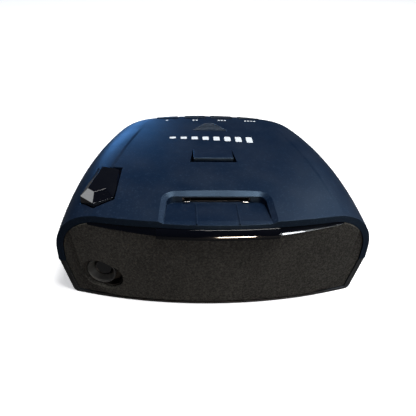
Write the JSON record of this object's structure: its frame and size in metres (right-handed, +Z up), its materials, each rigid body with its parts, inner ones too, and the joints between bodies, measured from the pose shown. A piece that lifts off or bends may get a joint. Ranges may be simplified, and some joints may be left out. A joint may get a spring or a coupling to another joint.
{
  "type": "radar detector",
  "caption": "Windscreen radar and laser detector: domed casing, textured front panel, gloss brow window, laser lenses, top keys, speaker grille, bracket recess with release button.",
  "frame": {"origin": "under the middle of the casing, on the surface it rests on", "axes": "+X right seen from the front, +Y towards the driver, +Z up; the textured front faces -Y"},
  "size_m": [0.0998, 0.087, 0.037],
  "materials": {
    "housing_paint": "soft-touch satin paint, deep blue with a fine metallic fleck",
    "lower_shell": "fine-grained moulded plastic, near-black blue",
    "foam_panel": "coarse speckled, foam-like textured plastic, warm dark grey",
    "infrared_window": "polished infrared-pass plastic, black",
    "lens_glass": "polished coated lens",
    "barrel_black": "matt black moulding",
    "tube_grey": "smooth pale grey moulding",
    "key_rubber": "soft-touch moulding",
    "button_plastic": "satin paint",
    "board_green": "solder mask over glass-fibre board",
    "chip_black": "moulded package",
    "bright_steel": "tinned or plated steel",
    "dark_steel": "black zinc-plated steel",
    "cast_alloy": "die-cast zinc alloy",
    "speaker_cone": "paper cone and moulded frame",
    "acoustic_cloth": "fine woven black cloth",
    "display_glass": "smoked acrylic",
    "label_film": "blank brushed-silver polyester film",
    "ceramic": "fired ceramic with silver face"
  },
  "bodies": {
    "casing": {"upper_housing": "housing_paint", "lower_housing": "lower_shell", "front_panel": "foam_panel", "brow_window": "infrared_window", "eye_barrel": "barrel_black", "eye_tube": "tube_grey", "eye_lens": "lens_glass", "eye_board": "board_green", "eye_diode": "chip_black", "side_lens": "infrared_window", "side_board": "board_green", "side_diode": "chip_black", "button_retainer": "barrel_black", "button_spring": "bright_steel", "slot_liner": "bright_steel", "key_board": "board_green", "key_switches": "chip_black", "speaker": "speaker_cone", "speaker_cloth": "acoustic_cloth", "display_window": "display_glass", "display_module": "chip_black", "display_board": "board_green", "main_board": "board_green", "horn_antenna": "cast_alloy", "rf_board": "board_green", "rf_shield": "bright_steel", "gps_antenna": "ceramic", "processor_shield": "bright_steel", "power_jack": "barrel_black", "audio_jack": "barrel_black", "data_port": "bright_steel", "underside_label": "label_film", "case_screws": "dark_steel", "board_screws": "bright_steel"},
    "button": {"release_button": "button_plastic"},
    "key_1_cap": {"key_1": "key_rubber"},
    "key_2_cap": {"key_2": "key_rubber"},
    "key_3_cap": {"key_3": "key_rubber"},
    "key_4_cap": {"key_4": "key_rubber"}
  },
  "joints": [
    {"name": "button_press", "type": "slide", "parent": "casing", "child": "button", "axis": [0, 0, -1], "range_m": [0, 0.0015], "stiffness_N_per_m": 400, "springref_m": -0.001, "deforming": ["button_spring"]},
    {"name": "key_1_press", "type": "slide", "parent": "casing", "child": "key_1_cap", "axis": [0, 0, -1], "range_m": [0, 0.0008], "stiffness_N_per_m": 600, "springref_m": -0.0005},
    {"name": "key_2_press", "type": "slide", "parent": "casing", "child": "key_2_cap", "axis": [0, 0, -1], "range_m": [0, 0.0008], "stiffness_N_per_m": 600, "springref_m": -0.0005},
    {"name": "key_3_press", "type": "slide", "parent": "casing", "child": "key_3_cap", "axis": [0, 0, -1], "range_m": [0, 0.0008], "stiffness_N_per_m": 600, "springref_m": -0.0005},
    {"name": "key_4_press", "type": "slide", "parent": "casing", "child": "key_4_cap", "axis": [0, 0, -1], "range_m": [0, 0.0008], "stiffness_N_per_m": 600, "springref_m": -0.0005}
  ]
}
